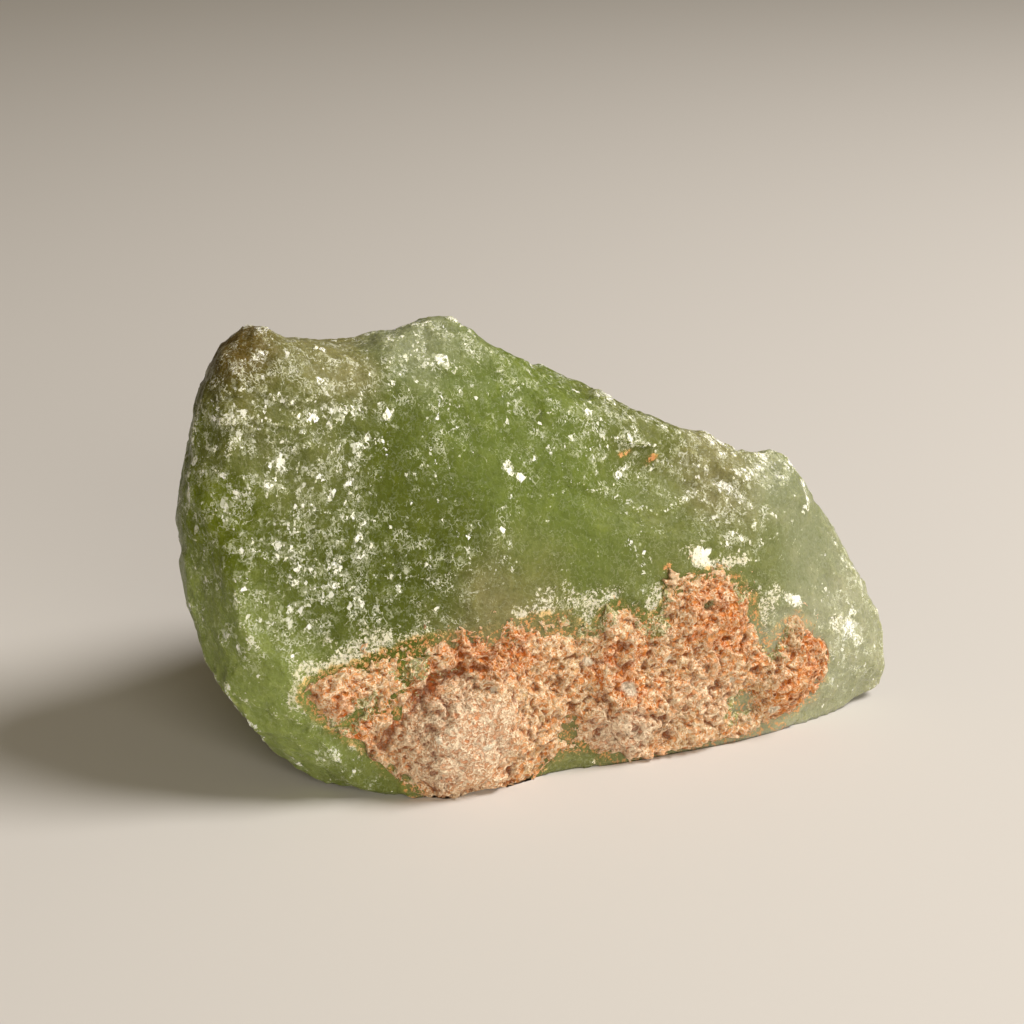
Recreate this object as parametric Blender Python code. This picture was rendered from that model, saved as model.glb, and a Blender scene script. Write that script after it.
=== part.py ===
"""A raw chunk of green calcite with a crust of rusty matrix rock grown into its front.

Two solids, in metres, +Z up, standing on a flat cleavage face:
  calcite       the green stone, blocks of cleaved crystal grown together as one piece
  matrix_crust  the brown, crumbly host rock that lines the foot of the broad front face
+X runs along the stone, -Y is the broad face with the crust, and the origin is under its middle.
"""

import math

import bmesh
import bpy
from mathutils import Matrix, Vector, noise
from mathutils.bvhtree import BVHTree
from mathutils.geometry import delaunay_2d_cdt

MM = 0.001

# ---------------------------------------------------------------- driving dimensions (mm, degrees)

FACE_FOOT_Y = -22.5  # where the broad face meets the ground
FACE_LEAN = 14.0  # how far it leans back from upright
FLOOR_CUT = 0.0  # height of the flat face the stone stands on

VOXEL = 0.75  # grain of the fused stone
STONE_FACES = 6200  # how many triangles the stone is thinned to
CRUST_PITCH = 1.55  # spacing of the crust's points
CRUST_BED = 1.3  # how deep the crust grows into the stone
JOIN_GAP = 0.35  # clearance kept between the two solids
BED_OPENING = 6.0  # how far the cutter that makes the crust's bed stands out over it

# Corners of the cleaved blocks, each (x, y, z). Every block is the hull of its corners.
BODY = [
    # the broad front face and the ridge where it turns to the left side
    (-40.7, -9.8, 42.6), (-39.9, -12.3, 36.8), (-38.4, -14.9, 30.2), (-39.3, -16.4, 21.3),
    (-39.5, -17.0, 12.9), (-32.0, -19.3, 9.4), (-25.1, -20.4, 6.4), (-30.9, -10.3, 47.9),
    (-25.2, -15.3, 33.2), (-5.7, -17.9, 26.4), (-9.7, -11.8, 41.0), (11.5, -16.2, 28.3),
    (27.0, -14.6, 29.5), (30.6, -19.2, 16.1), (34.6, -20.9, 5.2),
    # the left side
    (-40.7, -4.0, 42.0), (-43.1, -4.3, 31.7), (-43.1, -6.0, 25.5), (-42.3, -9.5, 19.0),
    (-40.8, -12.8, 13.0), (-37.6, -14.0, 8.3), (-34.9, -14.4, 4.1), (-32.2, -15.0, 2.2),
    (-27.6, -16.0, 0.6), (-21.3, -18.6, -0.6),
    # the top edge, falling to the right
    (-37.2, -4.5, 51.3), (-31.0, -4.0, 52.6), (-19.0, -4.5, 51.3), (-4.5, -5.5, 48.4),
    (4.9, -6.6, 43.3), (13.3, -7.6, 39.4), (20.5, -8.3, 36.4), (26.5, -8.5, 32.6),
    # the thin right end
    (37.6, -10.9, 26.2), (41.8, -13.0, 16.9), (45.4, -15.8, 8.2), (45.8, -17.6, 4.8),
    (45.0, -18.6, 1.6), (35.1, -20.6, 0.2),
    # the foot
    (27.2, -22.6, -3.4), (0.0, -22.2, -3.4), (-16.5, -21.9, -3.4), (-22.0, 1.0, -3.4),
    (-12.0, 11.0, -3.4), (9.0, 12.0, -3.4), (25.0, 4.0, -3.4), (36.0, -6.0, 0.2),
    # the back
    (-35.0, 5.0, 46.0), (-12.0, 7.5, 43.5), (5.0, 5.0, 38.5), (-38.0, 10.5, 30.0), (-36.0, 8.0, 14.0),
    (-28.0, 4.0, 4.0), (-15.0, 19.0, 31.0), (-13.0, 20.5, 12.0), (14.0, 17.0, 24.0), (16.0, 18.0, 8.0),
    (17.0, 1.0, 34.5), (31.0, 6.0, 20.0), (32.0, 6.0, 6.0), (40.0, -5.0, 14.0), (42.0, -9.0, 5.5),
]
BLOCKS = {
    "knob": [
        (-35.4, -3.6, 48.0), (-34.9, -4.2, 53.6), (-32.2, -3.4, 54.2), (-30.6, -3.0, 53.6),
        (-29.2, -4.6, 50.0), (-34.0, 0.0, 52.2), (-30.0, 0.0, 52.0), (-34.5, -7.0, 50.2),
        (-34.5, 7.0, 45.0), (-29.0, 7.0, 45.0),
    ],
    "hump": [
        (-16.2, -5.0, 48.8), (-13.8, -3.6, 51.9), (-11.0, -3.3, 53.0), (-8.2, -3.6, 52.7),
        (-5.8, -4.4, 50.0), (-2.0, -6.0, 46.5), (-15.0, -10.4, 45.0), (-6.5, -11.0, 43.0),
        (-12.5, 3.0, 49.0), (-7.0, 3.0, 47.5), (-18.0, 8.0, 43.0), (-2.0, 7.0, 41.0), (-11.0, -3.0, 40.0),
    ],
    "crest": [
        (27.0, -9.6, 31.0), (29.5, -9.2, 33.2), (32.6, -8.9, 33.0), (34.6, -9.0, 31.2),
        (37.4, -10.6, 26.5), (30.0, -14.0, 29.4), (34.0, -14.4, 25.0), (30.0, -4.0, 29.5),
        (35.5, -6.0, 25.5), (30.0, -9.0, 22.0),
    ],
    "brow": [
        (-39.8, -10.6, 44.6), (-28.4, -12.4, 44.2), (-27.0, -9.4, 49.4), (-36.5, -7.6, 50.4),
        (-33.0, -3.0, 46.0),
    ],
    "back_slab": [
        (-24.0, 19.0, 9.0), (-22.0, 19.0, 22.0), (-8.0, 21.6, 27.0), (6.0, 20.6, 22.0),
        (11.0, 20.8, 8.0), (-6.0, 21.8, 3.0), (-6.0, 2.0, 16.0),
    ],
    "back_wedge": [
        (10.0, 8.5, 34.0), (26.0, 9.0, 26.0), (30.0, 9.5, 12.0), (22.0, 14.0, 5.0),
        (14.0, 15.5, 17.0), (10.0, -4.0, 18.0),
    ],
}

# Hollows chipped out of the fused blocks: (centre x, y, z), (half sizes x, y, z), turn about Y in degrees
CHIPS = [
    ((-23.5, 0.0, 52.1), (7.5, 12.0, 2.0), 2.0),  # the dip between the knob and the hump
    ((14.0, -19.0, 36.0), (19.0, 7.6, 8.5), 22.0),  # shell-shaped scar on the upper right of the face
    ((-33.0, -14.4, 42.4), (6.5, 2.8, 1.8), -4.0),  # hollow under the brow
    ((-24.0, 17.0, 41.0), (12.0, 5.0, 8.0), 10.0),  # large scar on the back
    ((24.5, -8.0, 35.6), (2.6, 6.0, 1.6), 28.0),  # nick in the top edge before the crest
]

CHIP_UNEVEN = 0.35  # how far a scar's cutter is from an even shape, as a share of its size
CHIP_LUMPS = 1.7  # how many lumps that makes across it

# The broken surface: flat flakes of two sizes, each (width, height of the steps between them), over
# broad swells, each (wavelength, height)
FLAKES = [(16.0, 1.7), (6.5, 0.45)]
FLAKE_SLOPE = 0.16  # how wide the slope between two flakes is, as a share of their width
FLAKE_TILT = 2.0  # how much a flake is tilted
TILT_SEED, TILT_STEP, HEIGHT_SEED = 5.3, 9.1, 3.7  # where in the noise a flake's tilt and height lie
FACE_CALM = 0.45  # the broad face's steps are this much of the back's
FACE_TO_BACK = (-3.0, 10.0)  # and grow to the back's full height between these two y
SWELLS = [(19.0, 0.5), (3.6, 0.12)]

# The crust's outline on the face: (along x, up the slope from the face's foot), anticlockwise
CRUST_OUTLINE = [
    (-32.6, 14.4), (-30.6, 11.6), (-28.6, 9.6), (-26.4, 7.8), (-24.6, 5.8), (-22.6, 3.6), (-20.6, 1.0),
    (-18.0, -2.0), (-10.0, -2.0), (-6.8, -0.6), (-4.0, 1.4), (-1.4, 2.6), (1.6, 2.4), (3.8, 0.0),
    (7.0, -2.0), (16.0, -2.0), (24.6, -2.0), (27.6, 0.8),
    (30.2, 2.4), (32.2, 3.8), (33.5, 5.8), (34.2, 8.2), (34.0, 10.6), (32.5, 11.9), (32.0, 13.6),
    (30.3, 14.6), (28.2, 14.2), (27.0, 12.4), (25.4, 12.6), (24.6, 15.4), (24.0, 18.0), (22.6, 20.4),
    (19.6, 21.6), (15.8, 22.4), (13.0, 21.8), (11.8, 18.8), (10.2, 17.2), (8.4, 18.8), (6.2, 19.6),
    (4.0, 19.2), (2.6, 17.2), (0.6, 18.2), (-1.2, 19.8), (-3.2, 19.0), (-4.8, 20.0), (-6.4, 18.8),
    (-8.2, 19.6), (-11.0, 19.2), (-14.0, 19.2), (-17.4, 19.2), (-20.4, 18.8), (-22.8, 18.2),
    (-27.0, 17.2), (-29.8, 17.0), (-31.8, 16.2),
]
# Lumps and hollows of the crust: (along x, up the slope, radius, height)
CRUST_LUMPS = [
    (-13.5, 8.0, 9.5, 2.6), (-9.5, 12.0, 5.5, 1.0), (-17.5, 5.0, 5.0, 0.9),  # the large grey lump
    (5.5, 9.0, 7.0, 1.3), (8.0, 4.0, 5.0, 1.0), (15.0, 5.0, 6.0, 1.4), (17.5, 15.5, 6.0, 1.2),
    (27.5, 7.0, 6.0, 1.6), (-28.5, 14.5, 4.0, 0.5), (21.0, 10.5, 4.0, 0.8), (31.0, 10.0, 3.5, 0.9),
    (-0.6, 5.6, 2.2, -1.7), (22.2, 5.2, 2.7, -1.8), (2.6, 8.6, 1.8, -1.1), (11.5, 2.4, 2.0, -1.0),
    (-20.5, 14.0, 2.2, -0.8), (-24.5, 12.0, 2.6, -0.7), (25.8, 13.5, 2.0, -0.8), (-5.2, 12.6, 1.8, -0.8),
]
CRUST_RIM = 0.35  # the crust's height over the stone at its edge
CRUST_BODY = 1.35  # and away from its edge
CRUST_TAPER = 3.2  # how far in from the edge it reaches that
CRUST_THINNEST = 0.1
CRUST_ROUGH = 0.45  # its unevenness, and how wide one bump of that is
ROUGH_GRAIN = 2.6
BORDER_CLEAR = 0.6  # inner points keep this share of the pitch away from the border

CALCITE = ((0.20, 0.32, 0.07), 0.45)  # colour and roughness
MATRIX_ROCK = ((0.48, 0.29, 0.17), 0.9)
SHARP_ANGLE = 38.0  # edges sharper than this are shown sharp


# ---------------------------------------------------------------- helpers

def mm(*values):
    """A point given in millimetres."""
    return Vector(values) * MM


def new_object(name, mesh):
    obj = bpy.data.objects.new(name, mesh)
    bpy.context.scene.collection.objects.link(obj)
    return obj


def mesh_from(bm, name):
    bmesh.ops.recalc_face_normals(bm, faces=bm.faces)
    mesh = bpy.data.meshes.new(name)
    bm.to_mesh(mesh)
    bm.free()
    return mesh


def helper(obj):
    """A cutter or a block that is only there to shape the stone."""
    obj.hide_render = True
    obj.display_type = "WIRE"
    return obj


def apply_modifiers(obj):
    """Replaces the object's mesh by what its modifiers make of it."""
    graph = bpy.context.evaluated_depsgraph_get()
    made = bpy.data.meshes.new_from_object(obj.evaluated_get(graph))
    obj.modifiers.clear()
    obj.data = made
    return obj


def boolean(obj, other, operation):
    cut = obj.modifiers.new(other.name, "BOOLEAN")
    cut.object = other
    cut.operation = operation
    cut.solver = "EXACT"


def smooth_step(low, high, value):
    t = min(1.0, max(0.0, (value - low) / (high - low)))
    return t * t * (3.0 - 2.0 * t)


# ---------------------------------------------------------------- the stone

def hull(name, corners):
    """A cleaved block: the convex hull of its corners."""
    bm = bmesh.new()
    for corner in corners:
        bm.verts.new(mm(*corner))
    made = bmesh.ops.convex_hull(bm, input=bm.verts)
    inside = [v for v in made["geom_interior"] if isinstance(v, bmesh.types.BMVert)]
    bmesh.ops.delete(bm, geom=inside, context="VERTS")
    return helper(new_object(name, mesh_from(bm, name)))


def chip(name, centre, half, turn):
    """A rounded, uneven cutter that leaves a shell-shaped scar."""
    bm = bmesh.new()
    bmesh.ops.create_icosphere(bm, subdivisions=4, radius=1.0)
    for vertex in bm.verts:
        vertex.co *= 1.0 + CHIP_UNEVEN * noise.noise(vertex.co * CHIP_LUMPS + Vector(centre))
    bmesh.ops.scale(bm, verts=bm.verts, vec=mm(*half))
    bmesh.ops.rotate(bm, verts=bm.verts, matrix=Matrix.Rotation(math.radians(turn), 3, "Y"))
    bmesh.ops.translate(bm, verts=bm.verts, vec=mm(*centre))
    return helper(new_object(name, mesh_from(bm, name)))


def flake(place, centre):
    """How far the tilted flat flake around a centre stands out at a place, from -1 to 1."""
    tilt = Vector([noise.noise(centre * TILT_SEED + Vector((0.0, 0.0, TILT_STEP * k))) for k in range(3)])
    return max(-1.0, min(1.0, FLAKE_TILT * tilt.dot(place - centre) + noise.noise(centre * HEIGHT_SEED)))


def flakes(place):
    """The height of the flake that a place lies on, with a short slope down to the next one."""
    distances, centres = noise.voronoi(place)
    own, other = flake(place, centres[0]), flake(place, centres[1])
    return own + (other - own) * 0.5 * (1.0 - smooth_step(0.0, FLAKE_SLOPE, distances[1] - distances[0]))


def relief(point):
    """How far the broken surface stands out at a point, in mm."""
    p = point / MM
    swells = sum(size * noise.noise(p / wave) for wave, size in SWELLS)
    steps = sum(size * flakes(p / width) for width, size in FLAKES)
    return swells + steps * (FACE_CALM + (1.0 - FACE_CALM) * smooth_step(*FACE_TO_BACK, p.y))


def give_skin(obj):
    """Rebuilds the object as one even mesh, which fuses what overlaps."""
    skin = obj.modifiers.new("skin", "REMESH")
    skin.mode = "VOXEL"
    skin.voxel_size = VOXEL * MM
    apply_modifiers(obj)


def edit_mesh(obj, change):
    """Runs a function on the object's mesh as a bmesh."""
    bm = bmesh.new()
    bm.from_mesh(obj.data)
    change(bm)
    bm.to_mesh(obj.data)
    bm.free()


def soften(bm, times=2):
    for _ in range(times):
        bmesh.ops.smooth_vert(
            bm, verts=bm.verts, factor=0.5, use_axis_x=True, use_axis_y=True, use_axis_z=True,
        )


def break_surface(bm):
    """Moves every vertex out by the relief of the broken surface."""
    soften(bm)
    bm.normal_update()
    moved = [(v, v.co + v.normal * relief(v.co) * MM) for v in bm.verts]
    for vertex, place in moved:
        vertex.co = place


def fused_stone():
    """The blocks joined, chipped, given one skin, roughened and cut flat at the foot."""
    stone = hull("calcite", BODY)
    for name, corners in BLOCKS.items():
        boolean(stone, hull(name, corners), "UNION")
    for number, (centre, half, turn) in enumerate(CHIPS):
        boolean(stone, chip(f"chip_{number}", centre, half, turn), "DIFFERENCE")
    apply_modifiers(stone)
    give_skin(stone)
    edit_mesh(stone, break_surface)
    give_skin(stone)
    edit_mesh(stone, lambda bm: soften(bm, 1))

    thin = stone.modifiers.new("thin", "DECIMATE")
    thin.ratio = STONE_FACES / (2 * len(stone.data.polygons))
    apply_modifiers(stone)
    cut_flat(stone)
    stone.hide_render = False
    stone.display_type = "TEXTURED"
    return stone


def cut_flat(obj):
    """Cuts away what is below the ground and closes the cut with a flat face."""
    bm = bmesh.new()
    bm.from_mesh(obj.data)
    cut = bmesh.ops.bisect_plane(
        bm, geom=bm.verts[:] + bm.edges[:] + bm.faces[:], dist=1e-7,
        plane_co=mm(0, 0, FLOOR_CUT), plane_no=(0, 0, -1), clear_outer=True,
    )
    edges = [e for e in cut["geom_cut"] if isinstance(e, bmesh.types.BMEdge)]
    bmesh.ops.holes_fill(bm, edges=edges, sides=0)
    bmesh.ops.triangulate(bm, faces=bm.faces)
    bmesh.ops.recalc_face_normals(bm, faces=bm.faces)
    bm.to_mesh(obj.data)
    bm.free()


# ---------------------------------------------------------------- the crust

LEAN = math.radians(FACE_LEAN)
FACE_OUT = Vector((0.0, -math.cos(LEAN), math.sin(LEAN)))
FACE_UP = Vector((0.0, math.sin(LEAN), math.cos(LEAN)))
LOWEST_CAST = 1.6  # below this height up the slope the face is taken as straight
CAST_FROM = 30.0  # how far outside the face the rays start that find the stone's surface


def on_face(along, up, out=0.0):
    """A point given on the broad face's own plane, in mm."""
    return mm(along, FACE_FOOT_Y, 0.0) + FACE_UP * (up * MM) + FACE_OUT * (out * MM)


def face_height(tree, along, up):
    """How far the stone's real surface stands out from the face's plane, in mm."""
    start = on_face(along, max(up, LOWEST_CAST), CAST_FROM)
    hit = tree.ray_cast(start, -FACE_OUT)[0]
    return (hit - start).length / -MM + CAST_FROM


def resampled(outline, pitch):
    """The closed outline with a point about every pitch."""
    points = []
    for a, b in zip(outline, outline[1:] + outline[:1]):
        a, b = Vector(a), Vector(b)
        count = max(1, round((b - a).length / pitch))
        points += [a.lerp(b, i / count) for i in range(count)]
    return points


def inside(point, outline):
    """Whether a point lies in the outline: a line from it crosses the outline an odd number of times."""
    crossings = 0
    for a, b in zip(outline, outline[1:] + outline[:1]):
        if (a.y > point.y) != (b.y > point.y):
            crossings += point.x < a.x + (point.y - a.y) * (b.x - a.x) / (b.y - a.y)
    return crossings % 2 == 1


def edge_distance(point, outline):
    """How far a point is from the nearest side of the outline."""
    def to_segment(a, b):
        t = (point - a).dot(b - a) / (b - a).length_squared
        return (point - a.lerp(b, min(1.0, max(0.0, t)))).length
    return min(to_segment(a, b) for a, b in zip(outline, outline[1:] + outline[:1]))


def crust_height(point, outline):
    """How far the crust stands out from the stone, in mm."""
    x, up = point
    lumps = 0.0
    for middle_x, middle_up, radius, tall in CRUST_LUMPS:
        away = ((x - middle_x) ** 2 + (up - middle_up) ** 2) / (0.5 * radius * radius)
        lumps += tall * math.exp(-away)
    rough = CRUST_ROUGH * noise.noise(Vector((x / ROUGH_GRAIN, up / ROUGH_GRAIN, 0.5)))
    full = max(CRUST_THINNEST, CRUST_BODY + lumps + rough)
    return CRUST_RIM + (full - CRUST_RIM) * smooth_step(0.0, CRUST_TAPER, edge_distance(point, outline))


def crust_net(outline):
    """Points over the outline's inside and the triangles that join them. The border comes first."""
    border = resampled(outline, CRUST_PITCH)
    row = CRUST_PITCH * math.sqrt(0.75)
    low_x, high_x = min(p.x for p in border), max(p.x for p in border)
    low_y, high_y = min(p.y for p in border), max(p.y for p in border)
    points = list(border)
    for j in range(int((high_y - low_y) / row) + 1):
        for i in range(int((high_x - low_x) / CRUST_PITCH) + 1):
            p = Vector((low_x + (i + 0.5 * (j % 2)) * CRUST_PITCH, low_y + j * row))
            if inside(p, border) and edge_distance(p, border) > BORDER_CLEAR * CRUST_PITCH:
                points.append(p)
    ring = list(range(len(border)))
    found = delaunay_2d_cdt(points, [], [ring], 1, 1e-5)
    return [Vector(p) for p in found[0]], [list(f) for f in found[2]], len(border)


def evened(heights, triangles):
    """Each height averaged with those of the points around it, so that a bed has no steep steps."""
    around = [{i} for i in range(len(heights))]
    for triangle in triangles:
        for i in triangle:
            around[i].update(triangle)
    return [sum(heights[j] for j in near) / len(near) for near in around]


def shell(name, net, front, back, widen=0.0):
    """A closed slab over the net: front and back give its two faces' heights from the face's plane."""
    points, triangles, border = net
    spread = list(points)
    for i in range(border):
        side = points[(i + 1) % border] - points[(i - 1) % border]
        spread[i] = points[i] + Vector((side.y, -side.x)).normalized() * widen
    bm = bmesh.new()
    outer = [bm.verts.new(on_face(*p, front[i])) for i, p in enumerate(spread)]
    inner = [bm.verts.new(on_face(*p, back[i])) for i, p in enumerate(spread)]
    for a, b, c in triangles:
        bm.faces.new((outer[a], outer[b], outer[c]))
        bm.faces.new((inner[c], inner[b], inner[a]))
    for i in range(border):
        j = (i + 1) % border
        bm.faces.new((outer[j], outer[i], inner[i], inner[j]))
    bmesh.ops.triangulate(bm, faces=bm.faces)
    return new_object(name, mesh_from(bm, name))


def crust_on(stone):
    """Grows the crust over the stone's face and cuts its bed into the stone."""
    bm = bmesh.new()
    bm.from_mesh(stone.data)
    tree = BVHTree.FromBMesh(bm)
    bm.free()
    net = crust_net(CRUST_OUTLINE)
    points, triangles, border = net
    ground = [face_height(tree, *p) for p in points]
    top = [g + crust_height(p, points[:border]) for g, p in zip(ground, points)]
    under = [g - CRUST_BED for g in evened(ground, triangles)]
    crust = shell("matrix_crust", net, top, under)
    cut_flat(crust)
    bed = helper(shell(
        "crust_bed", net, [h + BED_OPENING for h in top], [h - JOIN_GAP for h in under], JOIN_GAP,
    ))
    boolean(stone, bed, "DIFFERENCE")
    apply_modifiers(stone)
    return crust


# ---------------------------------------------------------------- finish

def finish(obj, colour, roughness):
    """Shades the object and gives it its own material."""
    obj.data.shade_smooth()
    obj.data.set_sharp_from_angle(angle=math.radians(SHARP_ANGLE))
    material = bpy.data.materials.new(obj.name)
    material.use_nodes = True
    shader = material.node_tree.nodes["Principled BSDF"]
    shader.inputs["Base Color"].default_value = (*colour, 1.0)
    shader.inputs["Roughness"].default_value = roughness
    obj.data.materials.clear()
    obj.data.materials.append(material)


def stand_on_origin(objects):
    """Moves the stone so that the origin is on the ground under the middle of its box."""
    corners = [v.co for obj in objects for v in obj.data.vertices]
    low = [min(c[i] for c in corners) for i in range(3)]
    high = [max(c[i] for c in corners) for i in range(3)]
    middle = Vector(((low[0] + high[0]) / 2, (low[1] + high[1]) / 2, low[2]))
    for obj in objects:
        obj.data.transform(Matrix.Translation(-middle))
    print("moved by", [round(c / MM, 3) for c in -middle])


def main():
    for obj in list(bpy.data.objects):
        bpy.data.objects.remove(obj)
    stone = fused_stone()
    crust = crust_on(stone)
    finish(stone, *CALCITE)
    finish(crust, *MATRIX_ROCK)
    stand_on_origin([stone, crust])


main()
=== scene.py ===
# %% [markdown]
# # A raw chunk of green calcite
#
# Calcite breaks along flat planes. This chunk is a wedge of small flat breaks, waxy and a little
# translucent, and it carries a crumbly, rusty crust of the rock that it grew on. The frame's solids give
# the size and the main shapes. This lesson adds the fine surface and the finish, and then the floor, the
# light and the camera.

# %% Load the frame
from math import cos, radians, sin, sqrt

import bmesh
import bpy
import numpy as np
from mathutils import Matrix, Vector, noise
from mathutils.bvhtree import BVHTree


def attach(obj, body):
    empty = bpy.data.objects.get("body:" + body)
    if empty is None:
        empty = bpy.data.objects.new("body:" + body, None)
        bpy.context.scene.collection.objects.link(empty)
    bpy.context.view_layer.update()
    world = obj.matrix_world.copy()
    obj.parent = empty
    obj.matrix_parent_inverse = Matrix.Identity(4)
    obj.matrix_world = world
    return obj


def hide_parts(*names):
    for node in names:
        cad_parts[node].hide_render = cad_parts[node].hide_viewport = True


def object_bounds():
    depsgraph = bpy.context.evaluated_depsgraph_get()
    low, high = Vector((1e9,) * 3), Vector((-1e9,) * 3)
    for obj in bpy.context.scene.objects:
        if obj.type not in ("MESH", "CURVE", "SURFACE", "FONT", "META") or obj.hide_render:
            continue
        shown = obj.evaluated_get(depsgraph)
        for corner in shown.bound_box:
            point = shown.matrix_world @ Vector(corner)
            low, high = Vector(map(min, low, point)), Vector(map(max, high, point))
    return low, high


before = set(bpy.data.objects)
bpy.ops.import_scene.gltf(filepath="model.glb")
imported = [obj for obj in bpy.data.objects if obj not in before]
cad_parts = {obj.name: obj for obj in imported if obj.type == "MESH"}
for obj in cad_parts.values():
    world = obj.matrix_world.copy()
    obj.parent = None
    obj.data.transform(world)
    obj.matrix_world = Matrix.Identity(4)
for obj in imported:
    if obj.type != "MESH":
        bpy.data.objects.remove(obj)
cad_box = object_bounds()
MM = 0.001  # the scene is in metres, the values below in millimetres
low, high = np.array(cad_box) / MM
print("the part measures", np.round(high - low, 1), "mm")

# %% [markdown]
# ## From a solid to a mesh that can carry detail
#
# A node of the frame has loose triangles of very different sizes, and fine relief needs small, even faces.
# So a copy is merged, and a voxel remesh rebuilds it as even squares. It also fuses whatever overlaps.

# %% Helpers for meshes
MERGED = 0.01  # points of a node closer than this are one point


def copy_of(node):
    """A bmesh of a frame node, with its loose triangles merged."""
    bm = bmesh.new()
    bm.from_mesh(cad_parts[node].data)
    bmesh.ops.remove_doubles(bm, verts=bm.verts, dist=MERGED * MM)
    return bm


def object_from(bm, name):
    """A new object at the origin that holds the bmesh."""
    mesh = bpy.data.meshes.new(name)
    bm.to_mesh(mesh)
    bm.free()
    obj = bpy.data.objects.new(name, mesh)
    bpy.context.scene.collection.objects.link(obj)
    return obj


def remesh(obj, voxel):
    """Rebuilds the object's mesh as even squares and fuses what overlaps."""
    skin = obj.modifiers.new("skin", "REMESH")
    skin.mode = "VOXEL"
    skin.voxel_size = voxel * MM
    graph = bpy.context.evaluated_depsgraph_get()
    made = bpy.data.meshes.new_from_object(obj.evaluated_get(graph))
    obj.modifiers.clear()
    obj.data = made
    print(obj.name, "has", len(made.vertices), "points after the remesh")


def points_of(mesh):
    """The mesh's points in mm, with a row for each."""
    flat = np.empty(3 * len(mesh.vertices), np.float32)
    mesh.vertices.foreach_get("co", flat)
    return flat.reshape(-1, 3).astype(float) / MM


def put_points(mesh, points):
    """Moves the mesh's points to places in mm."""
    mesh.vertices.foreach_set("co", (points * MM).astype(np.float32).ravel())
    mesh.update()


def normals_of(mesh):
    """Which way each point faces, with a row for each."""
    flat = np.empty(3 * len(mesh.vertices), np.float32)
    mesh.vertex_normals.foreach_get("vector", flat)
    return flat.reshape(-1, 3).astype(float)


def averaged(mesh, values, times):
    """Each point's values averaged with its neighbours', as often as asked."""
    ends = np.empty(2 * len(mesh.edges), np.int32)
    mesh.edges.foreach_get("vertices", ends)
    a, b = ends[0::2], ends[1::2]
    count = len(mesh.vertices)
    share = np.bincount(a, minlength=count) + np.bincount(b, minlength=count) + 1
    values = np.array(values, float).reshape(count, -1)
    for _ in range(times):
        total = values.copy()
        for k in range(values.shape[1]):
            total[:, k] += np.bincount(a, values[b, k], count) + np.bincount(b, values[a, k], count)
        values = total / share[:, None]
    return values


def rise(start, end, value):
    """0 up to start, 1 from end on, and eased between them."""
    t = np.clip((np.asarray(value, float) - start) / (end - start), 0, 1)
    return t * t * (3 - 2 * t)


def fade(start, end, value):
    """1 up to start, 0 from end on, and eased between them."""
    return 1 - rise(start, end, value)


def noise_at(points, size, seed):
    """Smooth noise from about -1 to 1, with bumps about size mm wide."""
    shift = Vector((seed * 7.31, seed * 3.17, seed * 5.53))
    return np.array([noise.noise(Vector(p) / size + shift) for p in points]) * 1.6


def pushed_about(points, by, size, seed):
    """The points, each pushed about by noise."""
    return points + by * np.c_[tuple(noise_at(points, size, seed + k) for k in range(3))]


def give(obj, name, values):
    """Stores a number from 0 to 1 or a colour for each point."""
    values = np.clip(np.asarray(values, np.float32), 0, 1)
    if values.ndim == 1:
        obj.data.attributes.new(name, "FLOAT", "POINT").data.foreach_set("value", values)
    else:
        rgba = np.c_[values, np.ones(len(values), np.float32)].astype(np.float32)
        obj.data.attributes.new(name, "FLOAT_COLOR", "POINT").data.foreach_set("color", rgba.ravel())


# %% [markdown]
# ## The stone under the crust
#
# The solids may not overlap, so the stone has a bed for the crust. But the stone shows through where the
# crust is thin. So the bed is filled: a slightly swollen copy of the crust is fused with the stone, its
# front is let down to the level of the stone's broad face, and the step round it is averaged away.

# %% Fill the bed
STONE_VOXEL = 0.43
FACE_LEAN = radians(14)
FACE_OUT = np.array((0, -cos(FACE_LEAN), sin(FACE_LEAN)))  # square to the broad face
FACE_UP = np.array((0, sin(FACE_LEAN), cos(FACE_LEAN)))  # up its slope
BED_DEPTH = 1.3  # how deep the crust sits in the stone
SWELL = 0.5  # how much the crust's copy grows
CAST = 30  # how far off a cast line starts
FOOT = 1.2  # below this height the bed goes straight down the face
SOLE = 0.1  # points lower than this keep their height
EASED_REACH = 3 * STONE_VOXEL  # how far from the crust the step round the bed is averaged away
EASED_ROUNDS = 12


def tree_of(mesh):
    """A tree of the mesh's faces, in mm, for casting rays."""
    corners = [Vector(p) for p in points_of(mesh)]
    return BVHTree.FromPolygons(corners, [tuple(face.vertices) for face in mesh.polygons])


def cast(tree, place, direction):
    """Where a line square to the broad face first meets the tree."""
    start = Vector(place - direction * CAST)
    return tree.ray_cast(start, Vector(direction))[0]


crust_solid = bpy.data.meshes.new("crust_solid")
crust_copy = copy_of("matrix_crust")
crust_copy.to_mesh(crust_solid)
crust_copy.normal_update()
for vertex in crust_copy.verts:
    vertex.co += vertex.normal * SWELL * MM
swollen = bpy.data.meshes.new("swollen")
crust_copy.to_mesh(swollen)
crust_copy.free()
crust_tree = tree_of(crust_solid)

body = copy_of("calcite")
body.from_mesh(swollen)
stone = object_from(body, "green_calcite")
remesh(stone, STONE_VOXEL)

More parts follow.
